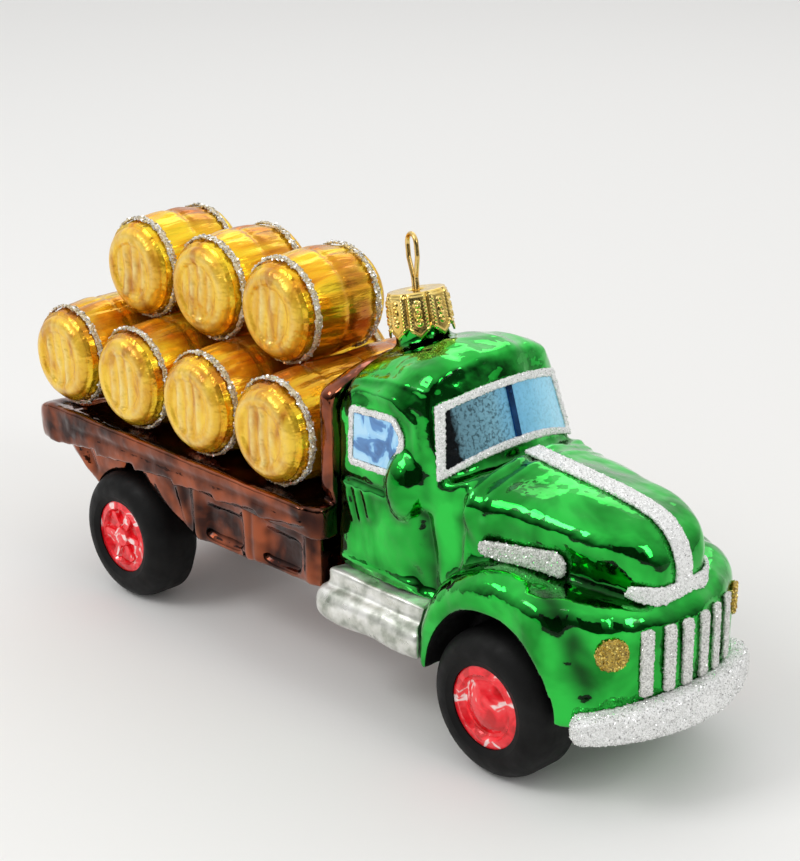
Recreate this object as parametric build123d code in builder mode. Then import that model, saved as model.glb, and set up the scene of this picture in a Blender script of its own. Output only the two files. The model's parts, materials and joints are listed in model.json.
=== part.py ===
from build123d import *
import os
from math import asin, cos, degrees, radians, sin, sqrt, tan

# Hanging ornament of blown glass in the shape of a flat-bed truck with barrels.
# Driving dimensions in millimetres: X towards the nose, Y to the truck's left, Z up.

# Tyres and wheel discs, bulges of the glass
FRONT_AXLE_X = 49.2
WHEELBASE = 99.0
TYRE_R = 12.8
TYRE_W = 10.7
TYRE_OUT = 22.1
TYRE_ROUND = 4.0
DISC_R = 7.2
DISC_DEPTH = 1.8
FIT = 0.05

# Nose and front mudguards
NOSE_X = 74.6
NOSE_R = 28.0
NOSE_ARC = 32.0
CORNER_R = 15.0
CLIP_REAR = 32.0
CLIP_TUCK = 6.0
CLIP_FLOOR = 14.2
CREST_X = 50.0
CREST_Z = 36.0
CHIN_Z = 31.5
CLIP_ROUND = 4.5
ARCH_HALF = 14.0
ARCH_RISE = 15.6
ARCH_Z = 13.6

# Bonnet
BONNET_TIP_X = 73.0
BONNET_TIP_R = 10.5
BONNET_FLANK_R = 40.0
BONNET_TIP_ARC = 66.0
BONNET_FLARE = 10.5
BONNET_FLOOR = 28.0
RIDGE_X = 56.0
RIDGE_Z = 47.3
RIDGE_RISE = 1.7
BROW_R = 60.0
BROW_ARC = 9.0
SNOUT_R = 8.5
SNOUT_ARC = 70.0
CROWN_R = 31.0
BONNET_ROUND = 4.0

# Cab
CAB_REAR = 9.0
CAB_SILL = 24.5
COWL_X = 38.5
EAVES_R = 8.5
ROOF_R = 30.0
SCREEN_Z = 49.3
SCREEN_X = 36.0
SCREEN_RAKE = 17.0
SCREEN_BOW_R = 34.5
SCREEN_FOOT = 2.6
SCREEN_SPAN = 22.0

# Glitter and paint laid on the glass
TRIM = 0.7
PAINT = 0.35
STRIP_W = 3.8
BAR_W = 2.1
BAR_TOP = 31.0
LAMP_R = 2.7
LAMP_Y = 15.0
LAMP_Z = 27.6
BUMPER_LOW = 12.9
BUMPER_H = 6.7
BUMPER_T = 3.2
BUMPER_WRAP = 56.0
BUMPER_DROOP = 2.6
BUMPER_ROUND = 1.6
BUMPER_END_R = 2.0

# Bed, headboard and under-bed boxes
BED_TOP = 35.4
BED_T = 6.0
BED_OVERHANG = 2.4
BED_CORNER = 5.5
RAIL_T = 1.4
RAIL_LIP = 0.4
RAIL_LOW = 28.0
RAIL_CLIMB = 2.6
RAIL_STEPS = 6
RAIL_TOOTH = 1.3
DROOP_L = 9.0
DROOP = 4.6
HEADBOARD_T = 3.8
HEADBOARD_IN = 4.0
HEADBOARD_TOP = 59.6
BOX_REAR = -28.5
BOX_FRONT = 6.6
BOX_LOW = 17.9
BOX_DEEP = 7.8
PANEL_SINK = 1.3

# Running boards
BOARD_W = 7.4
BOARD_H = 6.6
BOARD_Z = 18.3
BOARD_ROUND = 2.9

# Barrels
BARREL_R = 10.25
BARREL_END_R = 8.4
BARREL_L = 22.0
BARREL_PITCH = 20.6
BARREL_GAP = 0.1
HOOP_IN = 3.8
HOOP_W = 1.6

# Neck, cap and hanger wire
LEAN = 12.0
CAP_X = 11.5
CAP_Z = 71.2
CAP_R = 5.5
CAP_FLARE = 0.4
CAP_WALL = 0.45
CAP_H = 7.8
CAP_NOTCH = 1.7
CAP_POINTS = 8
NECK_R = 4.6
NECK_BORE = 3.4
NECK_DEEP = 14.0
WIRE_D = 0.85
LOOP_H = 10.0
LOOP_W = 4.6
LOOP_TURN = -20.0

# Places that follow from the sizes above
SPLIT_Y = TYRE_OUT - TYRE_W
REAR_AXLE_X = FRONT_AXLE_X - WHEELBASE
BED_LOW = BED_TOP - BED_T
BED_REAR = -(NOSE_X + BUMPER_T) + RAIL_T
BOX_HALF = SPLIT_Y + BOX_DEEP
BED_HALF = BOX_HALF + BED_OVERHANG
BOARD_Y = SPLIT_Y + BOX_DEEP - 0.7
HEADBOARD_HALF = BARREL_L - HEADBOARD_IN

os.makedirs("parts", exist_ok=True)


def finish(part, name):
    """Label a solid and write it out under its node name."""
    part.label = name
    export_step(part, "parts/" + name + ".step")


def soft_edges(part, floor):
    """Edges above floor that run along a shell, and not only up or across it."""
    picked = []
    for edge in part.edges():
        if (edge @ 0.5).Z > floor + 1 and edge.bounding_box().size.X > 0.01:
            picked.append(edge)
    return picked


def front_clip(grow=0.0):
    """Both front mudguards with the nose between them, grow mm larger outside."""
    with BuildPart() as clip:
        with BuildSketch(Plane.XY.offset(CLIP_FLOOR)):
            with BuildLine():
                nose = JernArc((NOSE_X + grow, 0), (0, 1), NOSE_R + grow, NOSE_ARC)
                corner = JernArc(nose @ 1, nose % 1, CORNER_R + grow, 90 - NOSE_ARC)
                side = Line(corner @ 1, (CLIP_REAR - CLIP_TUCK, (corner @ 1).Y))
                Line(side @ 1, (CLIP_REAR - CLIP_TUCK, 0))
                mirror(about=Plane.XZ)
            make_face()
        extrude(amount=40)
        with BuildSketch(Plane.XZ):
            with BuildLine():
                crest = (CREST_X, CREST_Z + grow)
                rise = TangentArc(crest, (CLIP_REAR - grow, CLIP_FLOOR), tangent=(-1, 0))
                fall = TangentArc(crest, (NOSE_X + 5, CHIN_Z + grow), tangent=(1, 0))
                Polyline(fall @ 1, (NOSE_X + 5, CLIP_FLOOR), rise @ 1)
            make_face()
        extrude(amount=40, both=True, mode=Mode.INTERSECT)
        fillet(soft_edges(clip, CLIP_FLOOR), CLIP_ROUND + grow)
    return clip.part


CROWN_Z = RIDGE_Z - CROWN_R
CROWN_TURN = 60.0
CROWN_AXIS = Axis((0, 0, CROWN_Z), (1, 0, 0))
CROWN_START = Plane((0, 0, CROWN_Z), (1, 0, 0), (0, -cos(radians(CROWN_TURN)), sin(radians(CROWN_TURN))))


def bonnet_shell(grow=0.0):
    """The bonnet down to its hidden foot, its top crowned across, grow mm larger outside."""
    with BuildPart() as shell:
        with BuildSketch(Plane.XY.offset(BONNET_FLOOR)):
            with BuildLine():
                tip = JernArc((BONNET_TIP_X + grow, 0), (0, 1), BONNET_TIP_R + grow, BONNET_TIP_ARC)
                flank = JernArc(tip @ 1, tip % 1, BONNET_FLANK_R + grow, 90 - BONNET_TIP_ARC - BONNET_FLARE)
                widest = (flank @ 1).Y + ((flank @ 1).X - COWL_X) * tan(radians(BONNET_FLARE))
                side = Line(flank @ 1, (COWL_X, widest))
                Line(side @ 1, (COWL_X, 0))
                mirror(about=Plane.XZ)
            make_face()
        extrude(amount=CROWN_R)
        with BuildSketch(CROWN_START):
            with BuildLine():
                top = Line((COWL_X, CROWN_R + RIDGE_RISE + grow), (RIDGE_X, CROWN_R + grow))
                brow = JernArc(top @ 1, top % 1, BROW_R + grow, -BROW_ARC)
                snout = JernArc(brow @ 1, brow % 1, SNOUT_R + grow, -SNOUT_ARC)
                chin = Line(snout @ 1, ((snout @ 1).X, CROWN_R / 4))
                Polyline(chin @ 1, (COWL_X, CROWN_R / 4), top @ 0)
            make_face()
        revolve(axis=CROWN_AXIS, revolution_arc=2 * CROWN_TURN, mode=Mode.INTERSECT)
        fillet(soft_edges(shell, BONNET_FLOOR), BONNET_ROUND + grow)
    return shell.part


CAB_SECTIONS = (
    # x, half width at the sill, half width at the eaves, roof height
    (CAB_REAR, 17.0, 16.0, 61.0),
    (CAB_REAR + 8, 17.5, 16.3, 63.8),
    (CAB_REAR + 17, 17.6, 16.1, 65.6),
    (COWL_X, 15.4, 13.8, 59.2),
)


def cab_shell(grow=0.0):
    """The cab with its domed roof before the windscreen is cut, grow mm larger outside."""
    with BuildPart() as shell:
        for x, sill, eaves, roof in CAB_SECTIONS:
            half = eaves + grow
            low = sill + grow
            lean = asin((half - EAVES_R) / (ROOF_R - EAVES_R))
            spring = roof + grow - ROOF_R + (ROOF_R - EAVES_R) * cos(lean)
            with BuildSketch(Plane.YZ.offset(x)):
                with BuildLine():
                    near = JernArc((half, spring), (0, 1), EAVES_R, 90 - degrees(lean))
                    over = (-(near @ 1).X, (near @ 1).Y)
                    crown = ThreePointArc(near @ 1, (0, roof + grow), over)
                    far = JernArc(over, crown % 1, EAVES_R, 90 - degrees(lean))
                    Polyline(far @ 1, (-low, CAB_SILL), (low, CAB_SILL), near @ 0)
                make_face()
        loft()
    return shell.part


RAKE = radians(SCREEN_RAKE)
SCREEN = Plane((SCREEN_X, 0, SCREEN_Z), (cos(RAKE), 0, sin(RAKE)), (-sin(RAKE), 0, cos(RAKE)))
SCREEN_FACE = Plane((SCREEN_X, 0, SCREEN_Z), (0, 1, 0), (cos(RAKE), 0, sin(RAKE)))
SCREEN_BOW = SCREEN_BOW_R - sqrt(SCREEN_BOW_R ** 2 - SCREEN_SPAN ** 2)


def screen_slab(back, front):
    """A bowed upright slab along the windscreen, from back to front of its glass face."""
    with BuildPart() as slab:
        with BuildSketch(SCREEN.offset(-SCREEN_FOOT)):
            with BuildLine():
                span, set_back = SCREEN_SPAN, back - SCREEN_BOW
                rear = ThreePointArc((set_back, -span), (back, 0), (set_back, span))
                set_front = front - SCREEN_BOW
                lead = ThreePointArc((set_front, -span), (front, 0), (set_front, span))
                Line(rear @ 0, lead @ 0)
                Line(rear @ 1, lead @ 1)
            make_face()
        extrude(amount=26)
    return slab.part


AXIS_DIR = (-sin(radians(LEAN)), 0, cos(radians(LEAN)))
AXIS_OUT = (cos(radians(LEAN)), 0, sin(radians(LEAN)))
CAP_TOP = (CAP_X, 0, CAP_Z)
CAP_AXIS = Axis(CAP_TOP, AXIS_DIR)
CAP_SIDE = Plane(CAP_TOP, AXIS_OUT, (0, -1, 0))
CAP_PLAN = Plane(CAP_TOP, AXIS_OUT, AXIS_DIR)
NECK_RIM = -CAP_WALL - 0.15

# Front of the truck: one shell of glass, parted where the tyres meet it
with BuildPart() as front:
    add(front_clip())
    for side in (-1, 1):
        with BuildSketch(Plane.XZ.offset(-side * SPLIT_Y)):
            with Locations((FRONT_AXLE_X, ARCH_Z)):
                Ellipse(ARCH_HALF, ARCH_RISE)
        extrude(amount=-side * 30, mode=Mode.SUBTRACT)

with BuildPart() as nose_shell:
    add(front.part)
    split(bisect_by=Plane.XZ.offset(SPLIT_Y), keep=Keep.BOTTOM)
    split(bisect_by=Plane.XZ.offset(-SPLIT_Y), keep=Keep.TOP)
finish(nose_shell.part, "nose_shell")

with BuildPart() as fender_right:
    add(front.part)
    split(bisect_by=Plane.XZ.offset(SPLIT_Y), keep=Keep.TOP)
finish(fender_right.part, "front_fender_right")

with BuildPart() as fender_left:
    add(front.part)
    split(bisect_by=Plane.XZ.offset(-SPLIT_Y), keep=Keep.BOTTOM)
finish(fender_left.part, "front_fender_left")

with BuildPart() as bonnet:
    add(bonnet_shell())
    add(front_clip(), mode=Mode.SUBTRACT)
finish(bonnet.part, "bonnet")

# Cab with the neck of the blown glass standing out of its roof
with BuildPart() as cab:
    add(cab_shell())
    add(screen_slab(0, 30), mode=Mode.SUBTRACT)
    add(front_clip(), mode=Mode.SUBTRACT)
    with BuildSketch(CAP_SIDE):
        with BuildLine():
            Polyline((0, NECK_RIM), (NECK_R, NECK_RIM), (NECK_R, -NECK_DEEP), (0, -NECK_DEEP), close=True)
        make_face()
    revolve(axis=CAP_AXIS)
    with BuildSketch(CAP_PLAN):
        Circle(NECK_BORE)
    extrude(amount=1 - NECK_DEEP, mode=Mode.SUBTRACT)
finish(cab.part, "cab")

MIRROR_X = 26.0
MIRROR_Y = 15.6
MIRROR_Z = 43.2
bulges = []
for side, name in ((-1, "right"), (1, "left")):
    with BuildPart() as bulge:
        with BuildSketch(Plane.XZ.offset(-side * MIRROR_Y)):
            with Locations((MIRROR_X, MIRROR_Z)):
                Ellipse(4.4, 6.3)
            with Locations((MIRROR_X - 10, MIRROR_Z)):
                Rectangle(20, 20, mode=Mode.SUBTRACT)
        revolve(axis=Axis((MIRROR_X, side * MIRROR_Y, 0), (0, 0, 1)))
        add(cab_shell(), mode=Mode.SUBTRACT)
    bulges.append(bulge.part)
    finish(bulge.part, "mirror_bulge_" + name)

# Windscreen: two painted panes, a post between them and a glitter frame round them
SCREEN_EDGE = ((-16.2, -2.2), (0, 0.0), (16.2, -2.2), (14.2, 10.0), (0, 11.4), (-14.2, 10.0))
SCREEN_INNER = ((-14.6, -0.7), (0, 1.4), (14.6, -0.7), (12.8, 8.8), (0, 10.1), (-12.8, 8.8))


def screen_outline(points):
    """A face bounded below and above by arcs, laid out along the windscreen."""
    low_a, low_b, low_c, top_a, top_b, top_c = points
    with BuildSketch() as outline:
        with BuildLine():
            ThreePointArc(low_a, low_b, low_c)
            Line(low_c, top_a)
            ThreePointArc(top_a, top_b, top_c)
            Line(top_c, low_a)
        make_face()
    return outline.sketch


with BuildPart() as screen_frame:
    with BuildSketch(SCREEN_FACE):
        add(screen_outline(SCREEN_EDGE))
        add(screen_outline(SCREEN_INNER), mode=Mode.SUBTRACT)
    extrude(amount=20, both=True)
    add(screen_slab(0, TRIM), mode=Mode.INTERSECT)
finish(screen_frame.part, "windscreen_frame")

with BuildPart() as panes:
    with BuildSketch(SCREEN_FACE):
        add(screen_outline(SCREEN_INNER))
        with Locations((0, 6)):
            Rectangle(1.2, 20, mode=Mode.SUBTRACT)
    extrude(amount=20, both=True)
    add(screen_slab(0, PAINT), mode=Mode.INTERSECT)
finish(panes.part, "windscreen_panes")

with BuildPart() as post:
    with BuildSketch(SCREEN_FACE):
        add(screen_outline(SCREEN_INNER))
        with Locations((0, 6)):
            Rectangle(1.2, 20, mode=Mode.INTERSECT)
    extrude(amount=20, both=True)
    add(screen_slab(0, TRIM), mode=Mode.INTERSECT)
finish(post.part, "windscreen_post")

# Side windows: painted panes in glitter frames, one on each door
WINDOW = ((12.0, 43.9), (23.2, 44.4), (26.4, 51.4), (23.4, 55.4), (12.1, 54.6))
WINDOW_ROUND = (1.2, 1.4, 3.0, 2.4, 1.2)


def window_outline(inset):
    """The outline of a side window, drawn in by inset."""
    with BuildSketch() as outline:
        with BuildLine():
            FilletPolyline(*WINDOW, radius=WINDOW_ROUND, close=True)
        make_face()
        if inset:
            offset(amount=-inset, mode=Mode.REPLACE)
    return outline.sketch


with BuildPart() as side_frames:
    with BuildSketch(Plane.XZ):
        add(window_outline(0))
        add(window_outline(1.3), mode=Mode.SUBTRACT)
    extrude(amount=40, both=True)
    add(cab_shell(TRIM), mode=Mode.INTERSECT)
    add(cab_shell(), mode=Mode.SUBTRACT)
    add(bulges, mode=Mode.SUBTRACT)
finish(side_frames.part, "side_window_frames")

with BuildPart() as side_panes:
    with BuildSketch(Plane.XZ):
        add(window_outline(1.3))
    extrude(amount=40, both=True)
    add(cab_shell(PAINT), mode=Mode.INTERSECT)
    add(cab_shell(), mode=Mode.SUBTRACT)
    add(bulges, mode=Mode.SUBTRACT)
finish(side_panes.part, "side_window_panes")

# Glitter along the bonnet ridge, the chevron on its nose and the vents on its flanks
with BuildPart() as bonnet_trim:
    with BuildSketch(Plane.XY.offset(BONNET_FLOOR)):
        with Locations((NOSE_X, 0)):
            Rectangle(2 * (NOSE_X - COWL_X) - 1, STRIP_W)
    extrude(amount=CROWN_R)
    with BuildSketch(Plane.YZ.offset(RIDGE_X)):
        with BuildLine():
            FilletPolyline(
                (0, 36.0),
                (4.0, 36.2),
                (9.0, 36.8),
                (9.4, 34.8),
                (5.6, 31.8),
                (0, 30.4),
                (-5.6, 31.8),
                (-9.4, 34.8),
                (-9.0, 36.8),
                (-4.0, 36.2),
                radius=0.7,
                close=True,
            )
        make_face()
    extrude(amount=NOSE_R)
    add(bonnet_shell(TRIM), mode=Mode.INTERSECT)
    add(bonnet_shell(), mode=Mode.SUBTRACT)
    add(front_clip(), mode=Mode.SUBTRACT)
finish(bonnet_trim.part, "bonnet_trim")

VENT_ENDS = (
    # x, z, radius
    (43.4, 37.3, 1.3),
    (56.0, 37.6, 2.3),
)
with BuildPart() as vents:
    with BuildSketch(Plane.XZ):
        for x, z, radius in VENT_ENDS:
            with Locations((x, z)):
                Circle(radius)
        make_hull()
    extrude(amount=40, both=True)
    add(bonnet_shell(TRIM), mode=Mode.INTERSECT)
    add(bonnet_shell(), mode=Mode.SUBTRACT)
    add(front_clip(), mode=Mode.SUBTRACT)
finish(vents.part, "side_vents")

# Bumper, grille bars and headlamps, glitter laid on the nose
with BuildPart() as bumper:
    with BuildSketch(Plane.XY.offset(BUMPER_LOW)):
        with BuildLine():
            outer = JernArc((NOSE_X + BUMPER_T, 0), (0, 1), NOSE_R + BUMPER_T, NOSE_ARC)
            bend = JernArc(outer @ 1, outer % 1, CORNER_R + BUMPER_T, BUMPER_WRAP - NOSE_ARC)
            inner = JernArc((NOSE_X, 0), (0, 1), NOSE_R, NOSE_ARC)
            wrap = JernArc(inner @ 1, inner % 1, CORNER_R, BUMPER_WRAP - NOSE_ARC)
            Line(bend @ 1, wrap @ 1)
            mirror(about=Plane.XZ)
        make_face()
    extrude(amount=BUMPER_H)
    with BuildSketch(Plane.YZ.offset(NOSE_X - 30)):
        with BuildLine():
            half, top = (bend @ 1).Y + 0.1, BUMPER_LOW + BUMPER_H
            over = ThreePointArc((-half, top - BUMPER_DROOP), (0, top), (half, top - BUMPER_DROOP))
            Polyline(over @ 1, (half, BUMPER_LOW), (-half, BUMPER_LOW), over @ 0)
        make_face()
    extrude(amount=60, mode=Mode.INTERSECT)
    tips = bumper.edges().filter_by(Axis.Z).sort_by(lambda e: abs((e @ 0.5).Y))[-2:]
    fillet(tips, BUMPER_END_R)
    bold = bumper.faces().filter_by(lambda f: f.normal_at().X > 0.3 and abs(f.normal_at().Z) < 0.2)
    fillet(bold.edges().filter_by(lambda e: abs((e % 0.5).Z) < 0.9), BUMPER_ROUND)
    add(front_clip(), mode=Mode.SUBTRACT)
finish(bumper.part, "bumper")

with BuildPart() as grille_bars:
    bar_low = BUMPER_LOW + BUMPER_H
    with BuildSketch(Plane.YZ.offset(60)):
        for y in (2.05, 5.75, 9.9):
            for side in (-1, 1):
                with Locations((side * y, (bar_low + BAR_TOP) / 2)):
                    RectangleRounded(BAR_W, BAR_TOP - bar_low, 0.6)
    extrude(amount=30)
    add(front_clip(TRIM), mode=Mode.INTERSECT)
    add(front_clip(), mode=Mode.SUBTRACT)
finish(grille_bars.part, "grille_bars")

with BuildPart() as headlamps:
    toe = asin(LAMP_Y / NOSE_R)
    lamp_x = NOSE_X - NOSE_R + NOSE_R * cos(toe)
    for side in (-1, 1):
        look = (cos(toe), side * sin(toe), 0)
        with BuildSketch(Plane((lamp_x, side * LAMP_Y, LAMP_Z), (-side * sin(toe), cos(toe), 0), look)):
            Circle(LAMP_R)
        extrude(amount=NOSE_R / 4, both=True)
    add(front_clip(TRIM), mode=Mode.INTERSECT)
    add(front_clip(), mode=Mode.SUBTRACT)
finish(headlamps.part, "headlamps")

# Running boards under the doors: a round roll with a thin step over it
BOARD_REAR = BOX_FRONT + 0.3
for side, name in ((-1, "right"), (1, "left")):
    with BuildPart() as board:
        with BuildSketch(Plane.YZ.offset(BOARD_REAR)):
            with Locations((side * BOARD_Y, BOARD_Z)):
                RectangleRounded(BOARD_W, BOARD_H, BOARD_ROUND)
        extrude(amount=CLIP_REAR + 2 - BOARD_REAR)
        fillet(board.faces().sort_by(Axis.X)[0].edges(), BOARD_ROUND - 0.4)
        with BuildSketch(Plane.YZ.offset(CAB_REAR + 0.3)):
            with Locations((side * (BOARD_Y - 1.7), CAB_SILL - 3)):
                Rectangle(BOARD_W - 1.8, BOARD_H - 0.6)
        extrude(amount=CLIP_REAR + 2 - CAB_REAR)
        add(front_clip(), mode=Mode.SUBTRACT)
    finish(board.part, "running_board_" + name)

# Bed with its stepped rail, the headboard and what hangs under the bed
def bed_plan(front, grow=0.0):
    """The bed's outline seen from above, with round rear corners, grow mm larger outside."""
    with BuildSketch() as plan:
        with Locations(((BED_REAR - grow + front) / 2, 0)):
            Rectangle(front - BED_REAR + grow, 2 * (BED_HALF + grow))
        fillet(plan.vertices().group_by(Axis.X)[0], BED_CORNER + grow)
    return plan.sketch


def bed_side():
    """The bed's long outline seen from the side, with a round drooping rear end."""
    with BuildSketch() as outline:
        with BuildLine():
            lip = BED_TOP + RAIL_LIP
            rear = BED_REAR - RAIL_T
            over = TangentArc((rear + DROOP_L, lip), (rear, lip - DROOP), tangent=(-1, 0))
            under = ThreePointArc(over @ 1, (rear + 2, RAIL_LOW + 1), (rear + DROOP_L, RAIL_LOW))
            Polyline(under @ 1, (CAB_REAR, RAIL_LOW), (CAB_REAR, lip), over @ 0)
        make_face()
    return outline.sketch


with BuildPart() as bed:
    with BuildSketch(Plane.XY.offset(BED_LOW)):
        add(bed_plan(CAB_REAR))
    extrude(amount=BED_T)
    fillet(bed.edges().filter_by(Axis.Z).group_by(Axis.X)[-1], 2.5)
    with BuildSketch(Plane.XZ):
        add(bed_side())
    extrude(amount=2 * BED_HALF, both=True, mode=Mode.INTERSECT)
finish(bed.part, "bed_floor")

RAIL_FRONT = CAB_REAR - 3
with BuildPart() as rail:
    with BuildSketch(Plane.XY.offset(RAIL_LOW)):
        add(bed_plan(RAIL_FRONT, RAIL_T))
        add(bed_plan(RAIL_FRONT), mode=Mode.SUBTRACT)
    extrude(amount=BED_TOP + RAIL_LIP - RAIL_LOW)
    with BuildSketch(Plane.XZ):
        add(bed_side())
    extrude(amount=2 * BED_HALF, both=True, mode=Mode.INTERSECT)
    with BuildSketch(Plane.XZ):
        with BuildLine():
            start = BED_REAR + DROOP_L
            run = (RAIL_FRONT - start) / RAIL_STEPS
            climb = RAIL_CLIMB / RAIL_STEPS
            teeth = [(start, RAIL_LOW)]
            for step in range(RAIL_STEPS):
                x, z = start + (step + 1) * run, RAIL_LOW + (step + 1) * climb
                teeth += [(x, z + RAIL_TOOTH), (x, z)]
            Polyline(*teeth, (RAIL_FRONT, RAIL_LOW - 1), (start, RAIL_LOW - 1), close=True)
        make_face()
    extrude(amount=2 * BED_HALF, both=True, mode=Mode.SUBTRACT)
finish(rail.part, "bed_rail")

with BuildPart() as headboard:
    with BuildSketch(Plane.YZ.offset(CAB_REAR - HEADBOARD_T)):
        with BuildLine():
            shoulder = HEADBOARD_TOP - 4
            over = ThreePointArc((-HEADBOARD_HALF, shoulder), (0, HEADBOARD_TOP), (HEADBOARD_HALF, shoulder))
            Polyline(over @ 1, (HEADBOARD_HALF, BED_TOP), (-HEADBOARD_HALF, BED_TOP), over @ 0)
        face = make_face()
        fillet(face.vertices().group_by(Axis.Z)[-1], 2.5)
    extrude(amount=HEADBOARD_T)
    fillet(headboard.edges().filter_by(lambda e: (e @ 0.5).Z > BED_TOP + 1).group_by(Axis.X)[0], 1.2)
finish(headboard.part, "headboard")

with BuildPart() as belly:
    with BuildSketch(Plane.XZ):
        with BuildLine():
            Polyline(
                (REAR_AXLE_X - 18, BED_LOW),
                (REAR_AXLE_X - 13, 17),
                (REAR_AXLE_X - 3, 9.5),
                (REAR_AXLE_X + 3, 9.5),
                (REAR_AXLE_X + 13, CLIP_FLOOR),
                (CLIP_REAR + 6, CLIP_FLOOR),
                (CLIP_REAR + 6, CAB_SILL),
                (CAB_REAR, CAB_SILL),
                (CAB_REAR, BED_LOW),
                close=True,
            )
        make_face()
    extrude(amount=SPLIT_Y, both=True)
    add(front_clip(), mode=Mode.SUBTRACT)
finish(belly.part, "belly")

PANELS = (
    # middle x, middle z, length, height
    (-20.4, 23.1, 11.0, 6.6),
    (-3.9, 23.4, 10.6, 6.6),
)
for side, name in ((-1, "right"), (1, "left")):
    with BuildPart() as box:
        with BuildSketch(Plane.XZ.offset(-side * SPLIT_Y)):
            with BuildLine():
                Polyline(
                    (BOX_FRONT, BED_LOW),
                    (BOX_FRONT, BOX_LOW + 1.4),
                    (BOX_REAR, BOX_LOW),
                    (REAR_AXLE_X + TYRE_R - 2, BOX_LOW + 4),
                    (REAR_AXLE_X, BED_LOW),
                    close=True,
                )
            make_face()
            with Locations((REAR_AXLE_X, TYRE_R)):
                Circle(TYRE_R + FIT, mode=Mode.SUBTRACT)
        extrude(amount=-side * BOX_DEEP)
        with BuildSketch(Plane.XZ.offset(-side * BOX_HALF)):
            for x, z, length, height in PANELS:
                with Locations((x, z)):
                    RectangleRounded(length, height, 1.5)
        extrude(amount=side * PANEL_SINK, mode=Mode.SUBTRACT)
    finish(box.part, "side_box_" + name)

with BuildPart() as tail_boxes:
    for side in (-1, 1):
        with BuildSketch(Plane.XZ.offset(-side * SPLIT_Y)):
            with BuildLine():
                Polyline(
                    (REAR_AXLE_X - TYRE_R - 9, BED_LOW),
                    (REAR_AXLE_X - TYRE_R - 5.5, BED_LOW - 4.2),
                    (REAR_AXLE_X - TYRE_R + 2.4, BED_LOW - 9.2),
                    (REAR_AXLE_X - 1, BED_LOW - 9.2),
                    (REAR_AXLE_X - 1, BED_LOW),
                    close=True,
                )
            make_face()
            with Locations((REAR_AXLE_X, TYRE_R)):
                Circle(TYRE_R + FIT, mode=Mode.SUBTRACT)
        extrude(amount=-side * BOX_DEEP)
finish(tail_boxes.part, "tail_boxes")

# Tyres and painted wheel discs
WHEELS = (
    # name, axle x, side, plain domed hub
    ("front_right", FRONT_AXLE_X, -1, True),
    ("front_left", FRONT_AXLE_X, 1, True),
    ("rear_right", REAR_AXLE_X, -1, False),
    ("rear_left", REAR_AXLE_X, 1, False),
)
for name, axle, side, domed in WHEELS:
    hub_axis = Axis((axle, 0, TYRE_R), (0, 1, 0))
    hub_plane = Plane((axle, 0, TYRE_R), (1, 0, 0), (0, 0, side))
    seat = TYRE_OUT - DISC_DEPTH
    with BuildPart() as tyre:
        with BuildSketch(hub_plane):
            with BuildLine():
                inner = Polyline((0, SPLIT_Y), (TYRE_R - 2, SPLIT_Y), (TYRE_R, SPLIT_Y + 2))
                tread = Line(inner @ 1, (TYRE_R, TYRE_OUT - TYRE_ROUND))
                wall = TangentArc(tread @ 1, (DISC_R + 1.2, TYRE_OUT), tangent=(0, 1))
                Polyline(wall @ 1, (DISC_R, TYRE_OUT - 0.5), (DISC_R, seat), (0, seat), inner @ 0)
            make_face()
        revolve(axis=hub_axis)
    finish(tyre.part, "tyre_" + name)
    rim = DISC_R - FIT
    with BuildPart() as disc:
        with BuildSketch(hub_plane):
            with BuildLine():
                foot = Polyline((0, seat), (rim, seat), (rim, seat + 1.0), (rim - 1.4, seat + 1.3))
                if domed:
                    dip = Polyline(foot @ 1, (rim - 2.0, seat + 0.5), (4.6, seat + 0.5))
                    TangentArc((0, seat + 2.0), dip @ 1, tangent=(1, 0))
                else:
                    dip = Polyline(foot @ 1, (rim - 2.0, seat + 0.4), (2.2, seat + 0.4))
                    Polyline(dip @ 1, (1.8, seat + 1.4), (0, seat + 1.5))
                Line((0, seat + 2.0) if domed else (0, seat + 1.5), (0, seat))
            make_face()
        revolve(axis=hub_axis)
        if not domed:
            with BuildSketch(Plane.XZ.offset(-side * (seat + 0.4))):
                with Locations((axle, TYRE_R)):
                    with PolarLocations(3.6, 6):
                        SlotOverall(3.4, 1.3)
            extrude(amount=-side * 0.7)
    finish(disc.part, "wheel_disc_" + name)

# Barrels: four along each side of the bed, three on top in the hollows between them
BARREL_X = CAB_REAR - HEADBOARD_T - BARREL_R - BARREL_GAP
LOW_Z = BED_TOP + BARREL_R + BARREL_GAP / 2
INNER_R = BARREL_R - 0.2
NEST = BARREL_R + INNER_R + BARREL_GAP
TOP_Z = LOW_Z + sqrt(NEST ** 2 - (BARREL_PITCH / 2) ** 2)
BARRELS = []
for row in range(4):
    BARRELS.append(("barrel_right_%d" % (row + 1), BARREL_X - row * BARREL_PITCH, LOW_Z, -1))
    BARRELS.append(("barrel_left_%d" % (row + 1), BARREL_X - row * BARREL_PITCH, LOW_Z, 1))
for row in range(3):
    BARRELS.append(("barrel_top_%d" % (row + 1), BARREL_X - (row + 0.5) * BARREL_PITCH, TOP_Z, 0))
HEAD_R = BARREL_END_R - 1.0
HEAD_SINK = 0.7
hoops = []
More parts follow.
